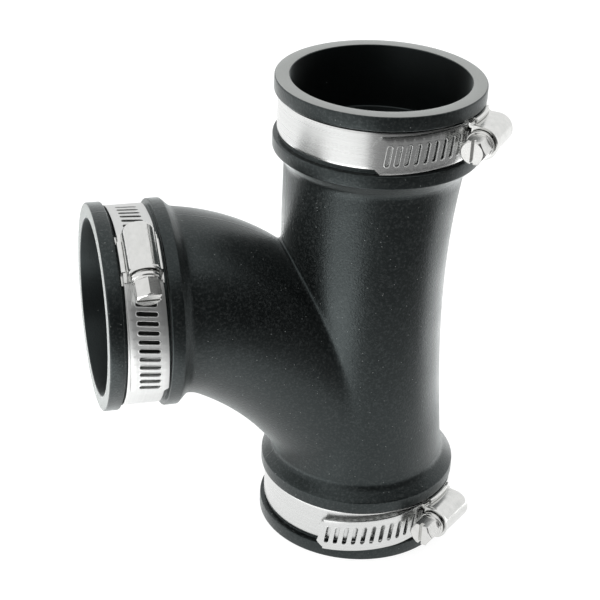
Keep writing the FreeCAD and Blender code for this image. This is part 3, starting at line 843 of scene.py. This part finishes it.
def saddle_grids():
    """Plate under the strip, and a tab on each side folded in over the housing's flange."""
    plate = joined(PLATE_R, np.linspace(-PLATE_HALF, PLATE_HALF, 15))
    tab = rounded([(PLATE_R, 6.3, 0), (PLATE_R, TAB_SIDE, 0.32),
                   (TAB_TOP_R, TAB_SIDE, 0.42), (TAB_TOP_R, TAB_END, 0)], 7)
    tab_along = np.linspace(-TAB_HALF, TAB_HALF, 16)
    return [
        bent_sheet(plate, SHEET, np.linspace(-SADDLE_HALF, SADDLE_HALF, 24)),
        bent_sheet(tab, TAB_SHEET, tab_along),
        bent_sheet(tab * [1, -1], TAB_SHEET, tab_along),
    ]


WALL_DEPTH = 3.7
HOLE_EDGE, HOLE_BEVEL = 0.1, 0.25
ROUND_TURN = np.radians(np.arange(0, 360, 7.5))
TINY = 1e-6


def end_wall(start, end, outer, hole):
    """Wall across the end of the arch with a round hole: rings go in along one face, through
    the hole and out along the other. Its outline is round above the screw and square below."""
    turn = ROUND_TURN
    down = np.clip(-np.cos(turn), TINY, None)
    across = np.clip(np.abs(np.sin(turn)), TINY, None)
    outline = np.where(np.cos(turn) > 0, outer, np.minimum(outer / across, WALL_DEPTH / down))
    rings = [(start, outline), (start, hole + HOLE_BEVEL), (start + HOLE_EDGE, hole),
             (end - HOLE_EDGE, hole), (end, hole + HOLE_BEVEL), (end, outline), (start, outline)]
    rows = [joined(SCREW_R + radius * np.cos(turn), along, radius * np.sin(turn))
            for along, radius in rings]
    return grid(np.stack(rows))


FLARE, FLARE_START, FLARE_LENGTH = 0.06, 6.9, 1.3
DRAW, DRAW_START, DRAW_LENGTH = 0.3, 6.5, 2.26


def arch_width(along):
    """Share of the arch's radius: up to 6% more at the head's end, and a quarter of an ellipse
    less at the far end."""
    flare = FLARE * eased(-along, FLARE_START, FLARE_LENGTH)
    drawn = np.sqrt(1 - np.clip((along - DRAW_START) / DRAW_LENGTH, 0, 1) ** 2)
    return 1 + flare - DRAW * (1 - drawn)


ARCH_R, ARCH_HALF, FLANGE_R, FLANGE_SIDE = 5.0, 8.75, 35.775, 6.35


def housing_grids():
    """Arch with its flanges, and a wall at each end."""
    foot = rounded([(FLANGE_R, FLANGE_SIDE, 0), (FLANGE_R, ARCH_R, 0.75), (SCREW_R, ARCH_R, 0)], 7)
    wall = np.linspace(foot[-2], foot[-1], 6)[1:-1]
    turn = np.radians(np.linspace(-90, 90, 33))
    arch = joined(SCREW_R + ARCH_R * np.cos(turn), -ARCH_R * np.sin(turn))
    half = np.vstack([foot[:-1], wall])
    line = np.vstack([half, arch, (half * [1, -1])[::-1]])
    along = np.concatenate([
        np.linspace(-ARCH_HALF, -DRAW_START, 12), np.linspace(-6, 6, 13),
        np.linspace(DRAW_START, ARCH_HALF, 16)])
    return [
        bent_sheet(line, SHEET, along, arch_width),
        end_wall(start=-8.7, end=-7.85, outer=5.1, hole=3.4),
        end_wall(start=7.9, end=8.7, outer=3.7, hole=2.5),
    ]


for name in CLAMPS:
    make_clamp_piece(name, "_saddle_plate", saddle_grids(), [stamped_steel],
                     "_clamp", "_saddle")
    make_clamp_piece(name, "_stamped_housing", housing_grids(), [stamped_steel],
                     "_clamp", "_housing")

# %% [markdown]
# ### Screw
# The screw is headed and rolled from one wire. Its round parts are an outline carried round the
# axis. The worm is the same grid with a height added wherever a point is close to the helix, so
# the thread meets the core cleanly. The head is a hexagon whose free end is cut by a flat cone,
# with a driver slot across it.

# %% Screw
HEAD_END, HEAD_BASE = -17.6, -11.4
WORM_HALF, CORE_R, NECK_R, PILOT_R = 7.4, 3.3, 3.1, 2.2
HUB_R, HUB_END, WASHER_R, WASHER_END, PILOT_END = 4.3, -10.6, 4.8, -9.2, 9.0
THREAD_RISE, THREAD_FOOT, THREAD_FLANK, THREAD_FADE = 1.1, 0.75, 0.45, 0.9


def about_screw(radius, turn, along):
    """Point about the screw's axis, with the turn counted from the housing's top."""
    return joined(SCREW_R + radius * np.cos(turn), along, -radius * np.sin(turn))


def thread_height(turn, along):
    """Height of the worm above its core: a trapezoid of the distance along the axis to the
    nearest turn of the helix, fading out at both ends."""
    off = along / PITCH - (turn - np.pi) / (2 * np.pi)
    off = np.abs(off - np.round(off)) * PITCH
    fade = np.clip((WORM_HALF - np.abs(along)) / THREAD_FADE, 0, 1)
    return THREAD_RISE * np.clip((THREAD_FOOT - off) / THREAD_FLANK, 0, 1) * fade


def shank_grid():
    """Hub, washer, neck, worm and pilot in one outline round the axis."""
    start = rounded([
        (HEAD_BASE, 0, 0), (HEAD_BASE, HUB_R, 0.2), (HUB_END, HUB_R, 0.15),
        (HUB_END, WASHER_R, 0.25), (WASHER_END, WASHER_R, 0.25), (WASHER_END, NECK_R, 0.2),
        (-WORM_HALF, NECK_R, 0)], 4)
    worm = joined(np.linspace(-WORM_HALF, WORM_HALF, 130), CORE_R)
    end = rounded([
        (WORM_HALF, CORE_R, 0), (WORM_HALF, PILOT_R, 0.2),
        (PILOT_END, PILOT_R, 0.3), (PILOT_END, 0, 0)], 4)
    along, radius = np.vstack([start, worm, end[1:]]).T[:, :, None]
    height = thread_height(ROUND_TURN, along)
    return grid(about_screw(radius + height, ROUND_TURN, along))


HEAD_HALF, DRIVER_HALF, DRIVER_DEPTH = 3.97, 0.65, 1.8
CONE_R, CONE_ANGLE = 3.67, 30


def head_grid():
    """Hexagon with a cone-cut end. A column goes up the side and then straight across the end
    towards the middle, beside the slot. Columns in the slot stop at its floor, and its walls
    hang between two columns that share one place."""
    wall = math.degrees(math.atan2(HEAD_HALF, DRIVER_HALF))
    quarter = np.array([0, 8, 16, 24, 30, 36, 44, 52, 60, 67, 74, wall, wall, 85, 90])
    inside = np.arange(15) >= 12
    turn = np.radians(np.concatenate([
        quarter, 180 - quarter[-2::-1], 180 + quarter[1:], 360 - quarter[-2:0:-1]]))
    inside = np.concatenate([inside, inside[-2::-1], inside[1:], inside[-2:0:-1]])
    flat = HEAD_HALF / np.cos(turn % (np.pi / 3) - np.pi / 6)
    cut = np.linspace(0.55, 0, 8)
    up_side = [HEAD_BASE - HEAD_END, 4.0, DRIVER_DEPTH, 1.2, 0.7]
    along = HEAD_END + np.concatenate([up_side, cut])[:, None]
    cone = CONE_R + (along - HEAD_END) / math.tan(math.radians(CONE_ANGLE))
    along = np.where(inside, np.maximum(along, HEAD_END + DRIVER_DEPTH), along)
    radius = np.where(inside, flat, np.minimum(flat, cone))
    x, y = radius * np.cos(turn), radius * np.sin(turn)
    share = np.linspace(1, 0, 6)[1:, None]
    x = np.vstack([0 * x[:1], x, x[-1] + 0 * share])
    y = np.vstack([0 * y[:1], y, y[-1] * share])
    along = np.vstack([along[:1], along, along[-1] + 0 * share])
    return grid(joined(SCREW_R + x, along, -y))


for name in CLAMPS:
    make_clamp_piece(name, "_worm_screw", [shank_grid(), head_grid()], [headed_steel],
                     "_worm", "_screw", sharp=30)

# %% [markdown]
# ## Studio
# The photograph is a product shot on white. The floor is a pale sheet that runs on into a white
# surround. The camera and reflections see both as white, while the light that they give the
# object stays plain. Black rubber shows its shape by what it reflects, so there are also cards
# that mirrors alone see: grey cloth in front and a dark one behind the camera keep the near side
# deep black, and bright paper to the left and right gives the edges their rims. The lamps don't
# show in mirrors, where they would burn the steel out.

# %% Pieces of the studio
def white_to_the_lens(tree, seen, else_seen):
    """Shader that the camera, mirrors and glass see in place of the plain one."""
    rays = node(tree, "LightPath")
    either = node(tree, "Math", {
        0: rays.outputs["Is Camera Ray"], 1: rays.outputs["Is Glossy Ray"]}, operation="MAXIMUM")
    any_of = node(tree, "Math", {
        0: either.outputs[0], 1: rays.outputs["Is Transmission Ray"]}, operation="MAXIMUM")
    return node(tree, "MixShader", {0: any_of.outputs[0], 1: else_seen, 2: seen}).outputs[0]


def stage_card(name, corners, material, mirrors_only=False):
    """Flat piece of the studio. One for mirrors alone is hidden from the camera, gives no light
    to what is matt and casts no shadow."""
    mesh = bpy.data.meshes.new(name)
    mesh.from_pydata(corners, [], [range(len(corners))])
    mesh.materials.append(material)
    card = bpy.data.objects.new(name, mesh)
    bpy.context.scene.collection.objects.link(card)
    card.visible_camera = not mirrors_only
    card.visible_diffuse = not mirrors_only
    card.visible_shadow = not mirrors_only


def around_object(radius, start, end, height, steps=10):
    """Corners on a level arc about the object, from one bearing to another."""
    turn = np.radians(np.linspace(start, end, steps))
    return joined(radius * np.cos(turn), radius * np.sin(turn), height).tolist()


# Matt paper: plain to the object, and nearly white to the lens, with the shadow left in it.
paper, paper_tree = new_material("matt_paper_sheet")
plain = node(paper_tree, "BsdfDiffuse", {"Color": colour("#f2f2f2")})
glow = node(paper_tree, "Emission", {"Color": (1, 1, 1, 1), "Strength": 0.88})
lit = node(paper_tree, "BsdfDiffuse", {"Color": colour("#8c8c8c")})
both = node(paper_tree, "AddShader", {0: glow.outputs[0], 1: lit.outputs[0]})
shown = white_to_the_lens(paper_tree, both.outputs[0], plain.outputs[0])
node(paper_tree, "OutputMaterial", {"Surface": shown})


def card_material(name, tone, strength=1.0):
    """Cloth or paper of one even tone, as bright as if a lamp of its own lit it."""
    material, tree = new_material(name)
    glow = node(tree, "Emission", {"Color": colour(tone), "Strength": strength})
    node(tree, "OutputMaterial", {"Surface": glow.outputs[0]})
    return material


# %% Floor, and cards that only mirrors see
CARD_LIFT = 0.001
CLOTH_FROM, CLOTH_TO = 243, 346


def floor_card(name, near, far, start, end, material):
    """Part of a ring on the floor, between two radii in metres and two bearings in degrees."""
    near_arc = around_object(near, start, end, CARD_LIFT)
    far_arc = around_object(far, end, start, CARD_LIFT)
    stage_card(name, near_arc + far_arc, material, mirrors_only=True)


# Grey cloth: the dark middle of the rubber, and the grey end of the strips' sweep.
near_cloth = card_material("near_studio_cloth", "#686868")
grey_cloth = card_material("grey_studio_cloth", "#929292")
# Dark cloth: the near-black lines in the housings and heads, which mirror the camera's side.
dark_cloth = card_material("dark_studio_cloth", "#484848")
stage_card("paper_sheet", [(-3, -0.34, 0), (3, -0.34, 0), (3, 3, 0), (-3, 3, 0)], paper)
floor_card("near_cloth_on_floor", 0.17, 0.29, CLOTH_FROM, CLOTH_TO, near_cloth)
floor_card("grey_cloth_on_floor", 0.29, 3.0, CLOTH_FROM, CLOTH_TO, grey_cloth)
# Bright paper, lit more than the rest: the rims and the pale band on the rubber's left. Each
# has its two radii, its two bearings and its strength.
PAPERS = [
    ("right", 0.1, 0.27, -14, 50, 2.4),
    ("left", 0.08, 0.15, 160, 240, 1.7),
    ("far_left", 0.15, 0.27, 80, 240, 3.4),
]
for name, near, far, start, end, strength in PAPERS:
    bright_paper = card_material("bright_studio_paper_" + name, "#fafafa", strength)
    floor_card("bright_paper_" + name, near, far, start, end, bright_paper)
low_arc = around_object(1.2, CLOTH_FROM, CLOTH_TO, 0.0, steps=2)
high_arc = around_object(1.2, CLOTH_TO, CLOTH_FROM, 1.0, steps=2)
stage_card("dark_cloth_behind_camera", low_arc + high_arc, dark_cloth, mirrors_only=True)

# %% White surround
surround = bpy.data.worlds.new("white_surround")
bpy.context.scene.world = surround
surround.use_nodes = True
sky = surround.node_tree
sky.nodes.clear()
room = node(sky, "Background", {"Color": (1, 1, 1, 1), "Strength": 0.5})
white = node(sky, "Background", {"Color": (1, 1, 1, 1), "Strength": 1.0})
node(sky, "OutputWorld", {"Surface": white_to_the_lens(sky, white.outputs[0], room.outputs[0])})

# %% Lamps
AIM = Vector((0, 0, 0.09))


def soft_lamp(name, at, size, power):
    """Square soft box at a point, in metres, turned to face the object's middle."""
    lamp = bpy.data.lights.new(name, "AREA")
    lamp.shape, lamp.size, lamp.energy = "SQUARE", size, power
    made = bpy.data.objects.new(name, lamp)
    made.location = at
    made.rotation_euler = (AIM - Vector(at)).to_track_quat("-Z", "Y").to_euler()
    made.visible_glossy = False
    bpy.context.scene.collection.objects.link(made)


soft_lamp("soft_box_left", at=(-0.9, 0.0, 0.35), size=1.2, power=9)
soft_lamp("soft_box_right", at=(0.9, 0.6, 0.4), size=1.5, power=7)
soft_lamp("soft_box_behind", at=(-0.3, 1.0, 1.0), size=1.5, power=7)

# %% [markdown]
# ## Camera
# The camera's place was worked out from the photograph: the ellipses of the three mouths give
# its direction and distance, and the length of the run gives its scale. It stands half a metre
# in front, a little to the branch's side, and looks down by 29 degrees through a long lens.

# %% Camera and colour
CAMERA_AT = (-165.4, -487.0, 368.0)
CAMERA_TURN = (61.260, -2.275, -14.889)
lens = bpy.data.cameras.new("camera")
lens.sensor_width, lens.lens = 36.0, 99.03
lens.clip_end = 10
camera = bpy.data.objects.new("camera", lens)
camera.location = [value * MM for value in CAMERA_AT]
camera.rotation_euler = [math.radians(value) for value in CAMERA_TURN]
bpy.context.scene.collection.objects.link(camera)
bpy.context.scene.camera = camera
bpy.context.scene.view_settings.view_transform = "Standard"
